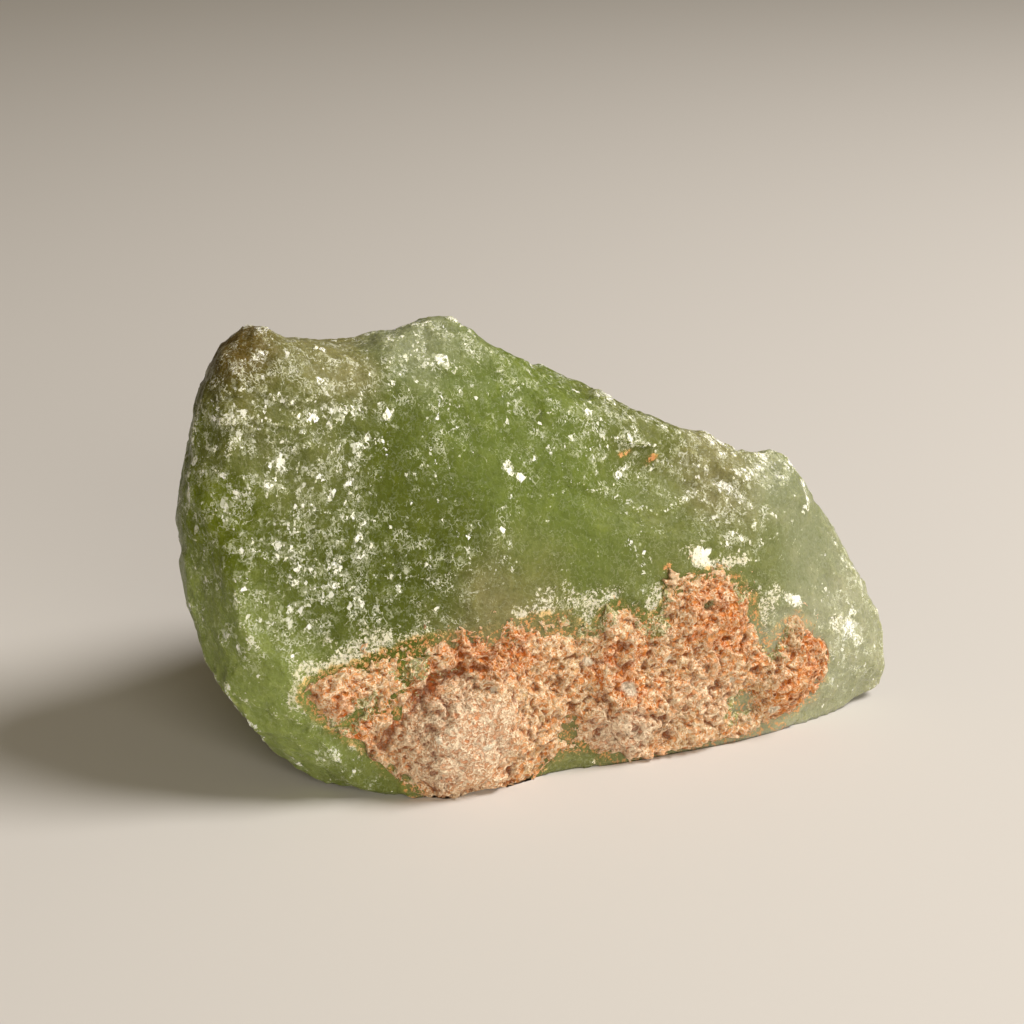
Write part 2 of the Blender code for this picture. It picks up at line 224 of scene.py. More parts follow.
places = points_of(stone.data)
under = np.zeros(len(places))  # 1 where the stone lies under the crust
loose = np.zeros(len(places), bool)
for i, place in enumerate(places):
    probe = place + FACE_UP * max(0, FOOT - place[2])
    back = cast(crust_tree, probe, FACE_OUT)
    if back is not None:
        above = (probe - np.array(back)) @ FACE_OUT
        if above > 0:
            places[i] -= FACE_OUT * (above - BED_DEPTH)
            under[i] = 1
            if place[2] < low[2] + SOLE:
                places[i][2] = place[2]
    elif crust_tree.find_nearest(Vector(place))[3] < EASED_REACH:
        loose[i] = True
for _ in range(EASED_ROUNDS):
    put_points(stone.data, places)
    places[loose] = averaged(stone.data, places, 1)[loose]
put_points(stone.data, places)
print("points let down:", int(under.sum()), "and points eased round them:", int(loose.sum()))

# %% [markdown]
# ## The flat breaks of the crystal
#
# A broken chunk of calcite has small flat faces that meet in soft edges. The cells of a Voronoi pattern
# divide the surface into patches, and every point is moved towards the mean plane of its patch. The pattern
# is the same in every run. The dip and the hump on the top edge are eased a little afterwards.

# %% Flat breaks
FACETS = [(9, 0.85, 11), (4.2, 0.55, 12)]  # size of a flat break, how flat it is, and its own seed
FACET_EDGE = 0.09  # how wide the edge between two breaks is, as a share of their size
FACET_REACH = 1.1  # no point moves farther than this
FACET_TRUST = (0.55, 0.85)  # a patch that bends round a corner more than this isn't flattened
KNOB_HEIGHTS = (44, 49)  # the knob at the top is flattened less
KNOB_SHARE = 0.6
EASED = [(-17.8, 52, 4.2, 0.8), (-12, 54, 3, -0.4), (-36.2, 53.5, 3.2, -0.8)]  # x, z, reach, how far up


def near(points, place, reach):
    """1 at a place given by its x and z on the stone, and 0 from its reach on."""
    away = np.hypot(points[:, 0] - place[0], points[:, 2] - place[1])
    return fade(0.35 * reach, reach, away)


def cells_at(points, size, seed):
    """For each point, the numbers of its own cell and the next, and how far it is from their border."""
    numbers = {}
    own = np.empty(len(points), int)
    other = np.empty(len(points), int)
    gap = np.empty(len(points))
    for i, point in enumerate(points):
        distances, centres = noise.voronoi(Vector(point) / size + Vector((seed, 0, 0)))
        own[i] = numbers.setdefault(tuple(centres[0].to_tuple(4)), len(numbers))
        other[i] = numbers.setdefault(tuple(centres[1].to_tuple(4)), len(numbers))
        gap[i] = distances[1] - distances[0]
    return own, other, gap, len(numbers)


def flattened(points, normals, size, flat, seed):
    """Each point moved towards the mean plane of its cell."""
    own, other, gap, count = cells_at(points, size, seed)
    members = np.maximum(np.bincount(own, minlength=count), 1)
    middle, facing = (
        np.stack([np.bincount(own, rows[:, k], count) for k in range(3)], 1) / members[:, None]
        for rows in (points, normals))
    length = np.linalg.norm(facing, axis=1)
    facing /= np.maximum(length, 1e-6)[:, None]
    trust = rise(*FACET_TRUST, length)

    def to_plane(cell):
        away = ((middle[cell] - points) * facing[cell]).sum(1) * trust[cell]
        return facing[cell] * np.clip(away, -FACET_REACH, FACET_REACH)[:, None]

    other = np.where(length[other] > 0, other, own)
    share = 0.5 * fade(0, FACET_EDGE, gap)[:, None]
    return points + flat * (to_plane(own) * (1 - share) + to_plane(other) * share)


standing = rise(0.1, 2.5, places[:, 2] - low[2])  # the foot stays flat
standing = (standing * (1 - KNOB_SHARE * rise(*KNOB_HEIGHTS, places[:, 2])))[:, None]
for size, flat, seed in FACETS:
    facing_out = averaged(stone.data, normals_of(stone.data), 4)
    broken = flattened(places, facing_out, size, flat, seed)
    places = places + (broken - places) * standing
    put_points(stone.data, np.clip(places, low, high))
for x, z, reach, up in EASED:
    places[:, 2] += up * near(places, (x, z), reach)
places = np.clip(places, low, high)
put_points(stone.data, places)
print("stone with its flat breaks:", np.round(places.max(0) - places.min(0), 1), "mm")

# %% [markdown]
# ## Flakes
#
# Each break is a patchwork of thin flakes, tilted a little and with a step to the next. Voronoi cells give
# the patchwork again, and noise at a cell's centre tilts its flake. Parts of the broad face are calmer, and
# the back has larger flakes. The relief is only gathered here, as a depth for each point.

# %% Flakes
FLAKES = [(4.2, 0.34), (1.7, 0.22)]  # size of a flake and how deep its relief goes
BACK_FLAKES = (9.5, 0.9)  # larger breaks, on the sides and the back
FLAKE_RIM, BACK_RIM = 0.12, 0.07  # how wide a flake's broken edge is, as a share of its size
FLAKE_TILT = 2.4
GRAIN = (0.9, 0.1)  # size and depth of the finest unevenness
CALM_PLACES = [((2, 28.5), 9), ((12, 24.5), 6), ((31, 22.5), 7), ((-9.4, 21.6), 4)]
CALM_SHARE = 0.6  # how much of the relief is gone where the face is calm


def flake(place, centre):
    """How far the tilted flake round a centre stands out at a place."""
    tilt = Vector([noise.noise(centre * 4.7 + Vector((0, 0, 8.3 * k))) for k in range(3)])
    return max(-1, min(1, FLAKE_TILT * tilt.dot(place - centre) + noise.noise(centre * 2.9)))


def flakes_at(points, size, rim):
    """The flakes' height at each point, and how near each point is to a flake's broken edge."""
    heights = np.empty(len(points))
    edges = np.empty(len(points))
    for i, point in enumerate(points):
        place = Vector(point) / size
        distances, centres = noise.voronoi(place)
        gap = min(1, (distances[1] - distances[0]) / rim)
        own = flake(place, centres[0])
        heights[i] = own + 0.5 * (1 - gap) * (flake(place, centres[1]) - own)
        edges[i] = 1 - gap
    return heights, edges


calm = np.zeros(len(places))
front = rise(0.2, 0.6, normals_of(stone.data) @ FACE_OUT)  # 1 on the broad face
for place, reach in CALM_PLACES:
    calm = np.maximum(calm, near(places, place, reach))
calm *= front
depth = np.zeros(len(places))
rims = np.zeros(len(places))  # 1 on the broken edges, which bruise first
for size, deep in FLAKES:
    heights, edges = flakes_at(places, size, FLAKE_RIM)
    depth -= 0.5 * deep * heights
    rims = np.maximum(rims, edges * rise(0, 0.6, np.abs(heights)))
depth -= 0.5 * GRAIN[1] * noise_at(places, GRAIN[0], 0)
heights, edges = flakes_at(places, BACK_FLAKES[0], BACK_RIM)
depth -= 0.5 * BACK_FLAKES[1] * heights * (1 - front)
rims = np.maximum(rims, edges * (1 - front))
depth *= 1 - CALM_SHARE * calm
print("deepest relief on the stone:", round(float(depth.max()), 2), "mm")

# %% [markdown]
# ## Ledges
#
# A few larger marks give this chunk its own face: ledges where a break ran out near the upper left corner,
# and low ridges down the left side. Each is a line on the stone. The surface is lower on one side of it and
# comes back to its level within the mark's reach. Then all the relief is carved at once. It fades out at
# the foot and stops at the part's own box.

# %% Ledges, and carving the relief
# each ledge: x and z along its line, how deep it is, and how far below the line it reaches
LEDGES = [
    ([(-41.5, 47.6), (-36, 48.6), (-31.5, 46.4), (-27, 47.2)], 0.5, 3),
    ([(-42.5, 44.4), (-37, 45.6), (-32, 44.3), (-28.5, 44.9)], 0.45, 3.4),
    ([(-20.5, 49.2), (-14, 48.2), (-9, 47)], 0.3, 3),
    ([(-41.8, 13.9), (-33.6, 10.6), (-26.7, 9.4)], 0.6, 4),
    ([(-0.7, 34.6), (4.2, 32.2), (11.7, 28.3), (18.4, 29.6)], 0.35, 3),
    ([(-25, 27), (-17.5, 25.4), (-12, 26.2)], 0.25, 2.2),
]
LEDGE_END = 1.5  # a ledge fades out over this much at both its ends
LEDGE_WANDER = 0.5  # how far its line is pushed up and down


def below_line(points, line):
    """How far below a line each point lies, and how well it is within the line's ends."""
    xs, zs = np.array(line).T
    drop = np.interp(points[:, 0], xs, zs) + LEDGE_WANDER * noise_at(points, 1.6, 9) - points[:, 2]
    inside = rise(xs[0] - LEDGE_END, xs[0] + LEDGE_END, points[:, 0])
    return drop, inside * fade(xs[-1] - LEDGE_END, xs[-1] + LEDGE_END, points[:, 0])


for line, deep, reach in LEDGES:
    drop, inside = below_line(places, line)
    step = rise(-0.1, 0.7, drop) * fade(0.7, reach, drop)
    depth += deep * step * inside * front
    rims = np.maximum(rims, inside * front * fade(0.15, 0.5, np.abs(drop)))

outward = averaged(stone.data, normals_of(stone.data), 4)
outward /= np.linalg.norm(outward, axis=1, keepdims=True)
grounded = fade(0.05, 1.2, places[:, 2] - low[2])
depth *= 1 - grounded
places = np.clip(places - outward * depth[:, None], low, high)
put_points(stone.data, places)
print("stone with its relief:", np.round(places.max(0) - places.min(0), 1), "mm")

# %% [markdown]
# ## The crust of rust-stained rock
#
# The crust is what is left of the rock that the calcite grew on: grains of weathered rock, glued together
# and stained by iron. It ends in a ragged rim of single crumbs. So crumbs are scattered round the rim first,
# each a small lumpy ball set on the stone, and one fine remesh then fuses them with the solid. They are
# scattered by steps of the golden ratio and its like, which spread evenly and are the same in every run.

# %% Crumbs round the rim
CRUST_VOXEL = 0.2
CRUMBS = 650
CRUMB_SIZES = (0.18, 0.42)
CRUMB_REACH = 1.3  # how far from the crust a crumb may lie
CRUMB_FOOT = 0.4  # no crumb lies lower than this
GOLDEN = 0.618034
GOLDEN_ANGLE = 2.399963  # in radians
REACH_STEP, SIZE_STEP = 0.7548777, 0.5698403  # two more steps that spread evenly
PATCHES = [(-30.9, 8.3, 1), (-29.8, 7.9, 1.1), (-28.6, 7.6, 1.1), (-33, 11, 0.8)]  # x, z, radius

stone_tree = tree_of(stone.data)


def on_stone(x, z):
    """The stone's surface in front of a place on the broad face, and which way it faces."""
    start = Vector((x, 0, z)) + Vector(FACE_OUT * 2 * CAST)
    place, normal, _, _ = stone_tree.ray_cast(start, Vector(-FACE_OUT))
    return place, normal


def crumb(bm, place, radius, seed):
    """Adds a small lumpy ball to the bmesh."""
    made = bmesh.ops.create_icosphere(bm, subdivisions=1, radius=radius * MM)["verts"]
    shift = Vector((seed * 1.7, seed * 2.3, seed * 0.9))
    for corner in made:
        lump = 1 + 0.5 * noise.noise(corner.co / (radius * MM) * 0.8 + shift)
        corner.co = corner.co * lump + place * MM


rim_points = list(points_of(crust_solid))
rocks = copy_of("matrix_crust")
crumbs = 0
tries = 0
while crumbs < CRUMBS and tries < 20 * CRUMBS:
    tries += 1
    at = rim_points[int(tries * GOLDEN * len(rim_points)) % len(rim_points)]
    angle = tries * GOLDEN_ANGLE
    reach = CRUMB_REACH * (((tries * REACH_STEP) % 1) ** 1.6)
    x = at[0] + reach * cos(angle)
    z = at[2] + reach * sin(angle)
    place, normal = on_stone(x, z)
    if place is None or z < CRUMB_FOOT or cast(crust_tree, np.array(place), FACE_OUT) is not None:
        continue
    gap = crust_tree.find_nearest(place)[3] / CRUMB_REACH
    if noise.noise(place / 1.6) * 1.2 + 0.62 < gap:
        continue
    share = (tries * SIZE_STEP) % 1
    radius = CRUMB_SIZES[0] + (CRUMB_SIZES[1] - CRUMB_SIZES[0]) * share ** 2 * (1 - 0.5 * gap)
    crumb(rocks, place + normal * 0.1 * radius, radius, tries)
    crumbs += 1
for x, z, radius in PATCHES:
    place, normal = on_stone(x, z)
    crumb(rocks, place + normal * 0.15 * radius, radius, x + z)
crust = object_from(rocks, "rusty_crust")
remesh(crust, CRUST_VOXEL)
print("crumbs set round the rim:", crumbs)

# %% [markdown]
# ## Lumps, pores and windows
#
# The crust is lumpy and porous. Two sizes of rounded Voronoi cells are its lumps and grains, and the ridges
# of three sizes of noise are thin winding walls with pores between them. Then the larger marks go in: a
# crease beside the biggest lump, deep pits, and windows where the green stone shows. The crust's back lies
# inside the stone, so only its outer side is shaped.

# %% The crust's marks
LUMPS = [(3.4, 0.95, 0.8), (1.5, 0.26, 0.9)]  # size, how much they stand out, unevenness
PORES = [(1.5, 0.4), (0.8, 0.3), (0.45, 0.14)]  # size, and how far the walls between pores stand out
SWELLS = [(3.4, 0.35, 5), (0.7, 0.12, 6)]  # size, height and seed of a plain unevenness
LUMP_MIDDLE, PORE_MIDDLE = 0.65, 0.45  # the height that leaves the surface where it is
BULGES = [  # x, z, radius, height
    (-14.6, 7, 8.6, 1.5), (28, 7, 4, 0.4), (6.5, 13.5, 3, 0.4), (13, 8.5, 4, 0.4),
]
PITS = [  # x, z, radius, depth
    (-6.6, 11.6, 0.9, 0.9), (-1.5, 8, 1.3, 1.1), (15.5, 10.3, 0.7, 0.8), (8.4, 5.5, 1.2, 1),
    (10.2, 3.1, 0.9, 0.8), (1.5, 5, 0.7, 0.6), (22, 9, 0.8, 0.6), (18.5, 13.8, 0.8, 0.7),
]
CREASE = [(-25.2, 7.4), (-24.5, 9.1), (-21.6, 12.3), (-18.4, 14.6), (-15.6, 15.3)]
CREASE_WIDTH, CREASE_DEPTH = 1, 1.4
WINDOWS = [  # ovals: x, z, half length, half width, turn in degrees
    (-2.8, 4.7, 0.9, 0.7, 0), (-1.7, 2.4, 0.9, 0.5, 10), (20.2, 4.7, 1.2, 1, 20),
    (15.9, 18.2, 0.6, 0.4, 30), (25.2, 12.2, 1.6, 1, 70), (23.6, 15.2, 1.5, 0.8, 80),
    (-27.4, 6.2, 1.2, 0.6, -30), (-24.2, 4.2, 0.8, 0.4, -45), (-22.4, 2.7, 0.7, 0.4, -45),
    (-28.6, 11, 2.6, 0.7, 40), (1.6, 17.6, 0.9, 0.4, 60), (21.4, 19, 0.9, 0.4, 75),
]
FOOT_LINE = [  # x, and how far over the ground the crust ends there
    (-44, 0), (-23, 0), (-20, -1), (-8, -1), (-4, 1.3), (2, 1.8), (5, 0.6), (12, 0.7), (20, 1.1), (25, 1.8),
    (30, 3.2), (36, 5),
]
RIM_WANDER = 0.65  # how far the rim is pushed about
SOFT_FRONT = 1.6  # the relief grows shallower over this last stretch to the box's front


def grains_at(points, size, uneven):
    """Rounded grains: about 1 in a grain's middle and 0 between two. Some stand lower."""
    tops = np.empty(len(points))
    for i, point in enumerate(points):
        distances, centres = noise.voronoi(Vector(point) / size)
        own = 1 + uneven * 1.5 * noise.noise(centres[0] * 3.3)
        tops[i] = own * sqrt(min(1, max(0, distances[1] - distances[0])))
    return tops


def pores_at(points, size, seed):
    """Sharp winding walls round small hollows: 1 on a wall and 0 in the middle of a hollow."""
    return (1 - np.clip(np.abs(noise_at(points, size, seed)) * 2.2, 0, 1)) ** 1.4


def oval(points, x, z, long, wide, turn):
    """0 at the middle of an oval on the broad face, and 1 on its outline."""
    a = radians(turn)
    dx = points[:, 0] - x
    dz = points[:, 2] - z
    along = dx * cos(a) + dz * sin(a)
    across = dz * cos(a) - dx * sin(a)
    return np.hypot(along / long, across / wide)


def blots(points, spots, start, end, ragged):
    """1 inside any of the ovals and 0 outside. Ragged numbers fray the outline."""
    inside = np.zeros(len(points))
    for spot in spots:
        inside = np.maximum(inside, fade(start, end, oval(points, *spot) + ragged))
    return inside


def line_distance(points, line):
    """How far each point is, across the broad face, from a line of x and z places."""
    best = np.full(len(points), np.inf)
    flat = points[:, [0, 2]]
    for start, end in zip(line[:-1], line[1:]):
        a = np.array(start)
        b = np.array(end)
        along = np.clip((flat - a) @ (b - a) / ((b - a) @ (b - a)), 0, 1)
        best = np.minimum(best, np.linalg.norm(flat - a - along[:, None] * (b - a), axis=1))
    return best


rock = points_of(crust.data)
rock += RIM_WANDER * np.c_[noise_at(rock, 2.6, 91), np.zeros(len(rock)), noise_at(rock, 2.6, 92)]
rock = np.clip(rock, low, high)
put_points(crust.data, rock)
outer = rise(-0.1, 0.35, normals_of(crust.data) @ FACE_OUT)
above = np.empty(len(rock))  # how far each point stands out over the stone
for i, point in enumerate(rock):
    probe = point + FACE_UP * max(0, FOOT - point[2])
    ground = cast(stone_tree, probe, -FACE_OUT)
    above[i] = -1 if ground is None else (probe - np.array(ground)) @ FACE_OUT
shown = rise(-0.5, 0, above) * outer
print("share of the crust's points that shows:", round(float(shown.mean()), 2))

# %% Its lumps, pores, pits and crease
wobble = noise_at(rock, 1.1, 21) + 0.5 * noise_at(rock, 0.5, 22)  # frays every mark's outline
lift = np.zeros(len(rock))
shaken_rock = pushed_about(rock, 0.55, 1.3, 61)
for size, tall, uneven in LUMPS:
    lift += tall * (grains_at(shaken_rock, size, uneven) - LUMP_MIDDLE)
for seed, (size, tall) in enumerate(PORES, 71):
    lift += tall * (pores_at(shaken_rock, size, seed) - PORE_MIDDLE)
lift += sum(tall * noise_at(rock, size, seed) for size, tall, seed in SWELLS)
for x, z, radius, tall in BULGES:
    away = np.hypot(rock[:, 0] - x, rock[:, 2] - z) / radius
    lift += tall * fade(0.3, 1, away + 0.1 * wobble)
hollow = np.zeros(len(rock))
for x, z, radius, deep in PITS:
    away = np.hypot(rock[:, 0] - x, rock[:, 2] - z) / radius
    hollow += deep * fade(0.25, 1, away + 0.5 * wobble)
crease = line_distance(rock, CREASE) / CREASE_WIDTH + 0.3 * wobble
hollow += CREASE_DEPTH * fade(0.2, 1, crease)
print("deepest hollow in the crust:", round(float(hollow.max()), 2), "mm")

# %% Its windows, its foot and its worn rim
BURIED = 0.35  # how far under the stone's surface the crust goes where it is gone
DEEPEST = 0.4  # no hollow goes farther under the stone's surface than this
THIN_KEPT = 0.55  # but thick crust keeps a little over it

bare = blots(rock, WINDOWS, 0.7, 1.15, 0.4 * wobble)
thin_rim = fade(0.25, 0.85, above)
bare = np.maximum(bare, thin_rim * rise(0.1, 0.6, noise_at(rock, 2.4, 81) + 0.4 * wobble))
foot = np.interp(rock[:, 0], *np.array(FOOT_LINE).T) + 0.5 * wobble
footless = fade(-0.2, 0.5, rock[:, 2] - foot)
bare = np.maximum(bare, footless)
shown = np.maximum(shown, footless * rise(-0.5, 0, above))
lift = (lift - hollow) * (1 - bare) - bare * (np.maximum(above, 0) + BURIED)
kept = rise(0.5, 1.3, above) * fade(0, 0.5, bare)
lift = np.maximum(lift, -np.maximum(above, 0) - DEEPEST + THIN_KEPT * kept)
shaped = rock + FACE_OUT * (lift * shown)[:, None]
room = np.maximum(shaped[:, 1] - low[1], -SOFT_FRONT)
eased = SOFT_FRONT * np.exp((room - SOFT_FRONT) / SOFT_FRONT)
shaped[:, 1] = low[1] + np.where(room < SOFT_FRONT, eased, room)
shaped = np.clip(shaped, low, high)
put_points(crust.data, shaped)
print("crust with its lumps:", np.round(shaped.max(0) - shaped.min(0), 1), "mm")

# %% [markdown]
# ## Colours that belong to places
#
# Iron browned the stone's upper left corner and its middle is a deep olive. Its thin right end is a pale
# grey-green, a painted glow of light coming through the thin stone, and the left edge, the hump and the
# right shoulder are lighter for the same reason. A palette of colours, each with the places where it lies,
# is blended and stored on the points.
# The places are pushed about by noise first, so that no blend is a round spot.

# %% The stone's colours


def paint(red, green, blue):
    """A paint chart's colour, 0 to 255, in the light values that materials use."""
    share = np.array((red, green, blue)) / 255
    return np.where(share <= 0.04045, share / 12.92, ((share + 0.055) / 1.055) ** 2.4)


BODY_COLOURS = [  # a colour, then the places where it lies: x, z, reach
    (paint(95, 75, 30), [(-37, 51.5, 4.5)]),  # the iron-brown corner
    (paint(97, 102, 50), [(-33, 42, 7), (11, 37, 5)]),  # olive under the thickest frost
    (paint(75, 85, 10), [(-21, 35, 8), (-35, 25, 6), (-30, 20, 4.5)]),  # deep olive
    (paint(102, 115, 15), [(-43, 34, 5)]),  # the left edge, a painted glow where light comes through
    (paint(98, 112, 45), [(-9, 42, 7), (1, 29, 8)]),  # the clear green middle
    (paint(108, 115, 62), [(12, 25, 7), (24, 21, 4)]),  # greyer green above the crust
    (paint(132, 145, 80), [(-42, 22, 5), (-38, 18, 6)]),  # the light lower left
    (paint(124, 120, 78), [(-27, 51, 4), (21, 32.5, 4.5), (-6, 20, 6)]),  # brownish bands
    (paint(130, 135, 103), [(-14, 51.5, 4), (31, 25, 6.5)]),  # the pale hump and the right shoulder, a painted glow of light through thin stone
    (paint(150, 152, 125), [(38, 10, 8)]),  # the pale right end, a painted glow of light through the thin stone
]

drifted = pushed_about(places, 1.8, 6, 31)
total = np.full(len(places), 1e-6)
tint = np.zeros((len(places), 3))
for colour, spread in BODY_COLOURS:
    for x, z, reach in spread:
        away = np.hypot(drifted[:, 0] - x, drifted[:, 2] - z) / reach
        weight = np.exp(-away ** 2) + 0.02 / (1 + away ** 2) ** 2
        tint += weight[:, None] * colour
        total += weight
tint /= total[:, None]
give(stone, "tint", tint)
print("the stone's mean colour:", np.round(tint.mean(0), 2))

# %% [markdown]
# ## Frost, bruises and rust on the stone
#
# White frost is calcite bruised by small knocks. Each kind of mark is a number on the points, from 0 to 1:
# how much frost there is, where an edge is worn, where frost rings the crust, where a harder knock left a
# scar, and where rust got in.

# %% The stone's marks
FROST = 0.3  # the frost away from all the places below
FROST_PLACES = [  # x, z, reach, how much more or less frost
    (-31, 43, 9, 0.4), (-34, 31, 9, 0.3), (-40, 39, 6, 0.35), (-25, 31, 8, 0.15), (-31, 22, 9, 0.25),
    (-12, 48, 7, 0.05), (12, 35, 8, 0.3), (22, 31, 7, 0.45), (28, 33, 5, 0.6), (36, 22, 4, 0.2),
    (6, 37, 6, 0.35), (1.5, 29, 8, -0.45), (12, 25.5, 8, -0.3), (-21, 39, 4, -0.3),
    (-10.4, 36.6, 4.5, -0.35), (-9.4, 21.6, 5, -0.25), (31, 22, 7, -0.4), (-40, 12, 8, -0.3),
    (-19, 33, 4, -0.25),
]
SCARS = [  # bruised ovals, and how white each is
    (15.9, 23.5, 2, 1.2, -20, 1), (28.8, 15.9, 3, 0.7, -38, 1), (36.3, 11.1, 2.4, 2.2, 0, 0.78),
    (-12.9, 48.3, 1.3, 0.8, -10, 0.75), (-7, 36.5, 0.7, 1.1, 0, 0.9), (5.5, 37.5, 2, 2.4, 0, 0.4),
    (8, 25, 1.4, 2.6, 20, 0.35), (33.6, 27.5, 0.5, 2.2, -20, 0.7), (28.5, 31.5, 3, 1.8, -15, 0.6),
    (38.2, 17.5, 0.7, 2.5, 25, 0.6), (-35.5, 44.5, 1.6, 1.2, 40, 0.45), (-22, 40.5, 1.3, 1, 30, 0.3),
    (23.5, 34.4, 4, 1.3, -28, 0.72), (29, 32.9, 3.4, 1.4, -8, 0.8), (32.9, 30.6, 2.4, 1.3, -48, 0.75),
    (-33.5, 40.5, 1, 0.8, 0, 0.6), (-36.5, 43.8, 1, 0.8, 30, 0.6), (-28, 41.5, 1.6, 0.8, -40, 0.5),
    (-37.5, 37, 0.9, 1.3, 0, 0.5), (-33.8, 34, 1.6, 0.8, 20, 0.5), (-37.5, 32, 1.2, 1, 0, 0.55),
    (-34.5, 30.8, 1.4, 1, 10, 0.55), (-39.5, 28, 0.8, 1.2, 0, 0.5), (-28.5, 36.5, 1, 0.8, 0, 0.5),
    (-24.5, 37, 0.8, 1, 0, 0.4), (-26.5, 33.8, 0.7, 1.6, 10, 0.5), (-42.5, 41, 0.8, 2.2, 15, 0.5),
]
RUST_SPOTS = [(8.6, 35.4, 0.9, 0.5, 0), (12.2, 34, 1, 0.7, 20), (11.5, 23, 0.7, 0.5, 0)]
BARE_RING = ((29.5, 13), 6)  # x and z, and a reach, where little frost rings the crust
RING_REACH = 4.6
RUSTY_TOUCH = 0.55  # how rusty the stone is right beside the crust

height = places[:, 2]
frost = np.full(len(places), FROST)
for x, z, reach, amount in FROST_PLACES:
    frost += amount * near(drifted, (x, z), 1.4 * reach)
frost *= (0.25 + 0.75 * rise(1.5, 5, height)) * (1 - 0.8 * under)
give(stone, "frost", frost)
give(stone, "rims", rims)

gap = np.array([crust_tree.find_nearest(Vector(p))[3] for p in places]) * (1 - under)
bulge = ((places - averaged(stone.data, places, 14)) * outward).sum(1)
worn = rise(0.06, 0.3, averaged(stone.data, bulge, 2)[:, 0])
worn *= rise(2, 5, height) * rise(0.1, 0.9, gap)
give(stone, "worn", worn)

ring = fade(0.3, RING_REACH, gap + 1.9 * noise_at(places, 2.6, 41))
ring *= rise(0.2, 0.6, noise_at(places, 4.5, 42) + 0.7) * rise(8, 14, height)
ring *= rise(0, 0.7, gap) * (1 - 0.85 * near(places, *BARE_RING))
give(stone, "ring", ring)

ragged = 0.45 * noise_at(places, 1.2, 43)
scars = np.zeros(len(places))
for *scar, whiteness in SCARS:
    scars = np.maximum(scars, blots(places, [scar], 0.6, 1.2, ragged) * whiteness)
give(stone, "scars", scars * rise(-0.1, 0.3, normals_of(stone.data) @ FACE_OUT))

touch = RUSTY_TOUCH * fade(0, 0.9, gap + 0.5 * noise_at(places, 1.1, 44))
spots = blots(places, RUST_SPOTS, 0.5, 1.2, ragged)
give(stone, "rust", np.maximum(spots * front, touch))
stone.data.shade_smooth()
print("share of the stone that is worn pale:", round(float(worn.mean()), 2))

# %% [markdown]
# ## The crust's colours
#
# Hollows get painted shade and raised tops a painted highlight, the big lump on the left is a greyish pink,
# the upper lobe and the right rim are a strong rust, and the rest is cream and peach. Thin crust has green
# crumbs of the stone between its grains.

# %% The crust's marks in colour
RUST_PLACES = [  # x, z, reach, how rusty
    (17, 16.5, 5.5, 1), (29, 8, 4, 0.8), (-15, 17, 3, 1), (-11.5, 17, 2.8, 1), (-8, 17, 2.6, 0.8),
    (-20.5, 14.5, 2.6, 0.9), (-29.5, 13, 3.5, 0.7), (-27.5, 9.5, 2.6, 0.8), (27.9, 3.5, 3, 1),
    (3.5, 12.5, 4, 0.9), (6.5, 8.5, 3, 0.7), (31, 9, 3, 0.6), (20.5, 11, 3, 0.5), (-6.5, 15, 3, 0.4),
    (24.5, 6, 3, 0.4),
]
GREY_PLACES = [(-16.4, 7, 7.5, 1), (3.5, 4, 4.5, 0.9), (9, 6, 4, 0.4), (16, 7.5, 4, 0.4)]
DARK_STAINS_AND_CAVITY_SHADE = [  # x, z, reach, how dark: rust-brown stains, some of them painted shade in cavities
    (-13, 16.6, 3.4, 0.6), (-9, 16, 2.5, 0.5), (4.6, 13.6, 2.6, 0.7), (2.2, 9, 1.6, 0.6),
    (15, 12.6, 2.4, 0.5), (30, 8.5, 2.2, 0.6), (27, 3.4, 2.2, 0.6), (17.6, 18, 3, 0.5), (-31, 12, 2, 0.4),
]
MOSSY_PLACES = [  # ovals of thin crust with green crumbs
    (-28.6, 11, 3.4, 1.1, 40), (-21, 15.8, 1.9, 0.9, 20), (24.2, 15.6, 2.4, 1.3, 80),
    (25.8, 12.6, 2, 1.2, 60), (9, 18, 1.6, 2.4, 0), (1, 18.2, 2.4, 1.4, 10), (21, 19, 1.5, 1, 75),
    (20.2, 4.7, 1.8, 1.5, 20),
]
PALE_CHIPS = [  # ovals
    (4.9, 10, 1, 0.8, 20), (-12.5, 13.5, 0.5, 0.4, 0), (-13.6, 6.5, 0.6, 0.4, 0), (0.5, 13.5, 0.5, 0.6, 0),
    (10.5, 12.5, 0.6, 0.4, 40), (19, 8.5, 0.6, 0.5, 0), (24.5, 3.8, 0.7, 0.4, 30),
    (-19.5, 8.5, 0.4, 0.5, 0),
]


def summed(points, spots):
    """The spots' amounts added up at each point."""
    amount = np.zeros(len(points))
    for x, z, reach, value in spots:
        amount += value * near(points, (x, z), 1.3 * reach)
    return amount


wandering = pushed_about(rock, 1.1, 2.4, 51)
give(crust, "rust", summed(wandering, RUST_PLACES))
give(crust, "grey", summed(wandering, GREY_PLACES))
give(crust, "chips", blots(rock, PALE_CHIPS, 0.7, 1.1, 0.3 * wobble))

# Painted shadow along the crease beside the big lump, and dark spots that are partly rust stains and partly
# painted shade in cavities.
crease_shadow_and_stains = 0.7 * fade(0.2, 1.3, crease) * rise(-1.2, 0.4, wobble)
for x, z, reach, amount in DARK_STAINS_AND_CAVITY_SHADE:
    crease_shadow_and_stains = np.maximum(crease_shadow_and_stains, amount * near(wandering, (x, z), reach) * rise(-0.4, 0.5, wobble))
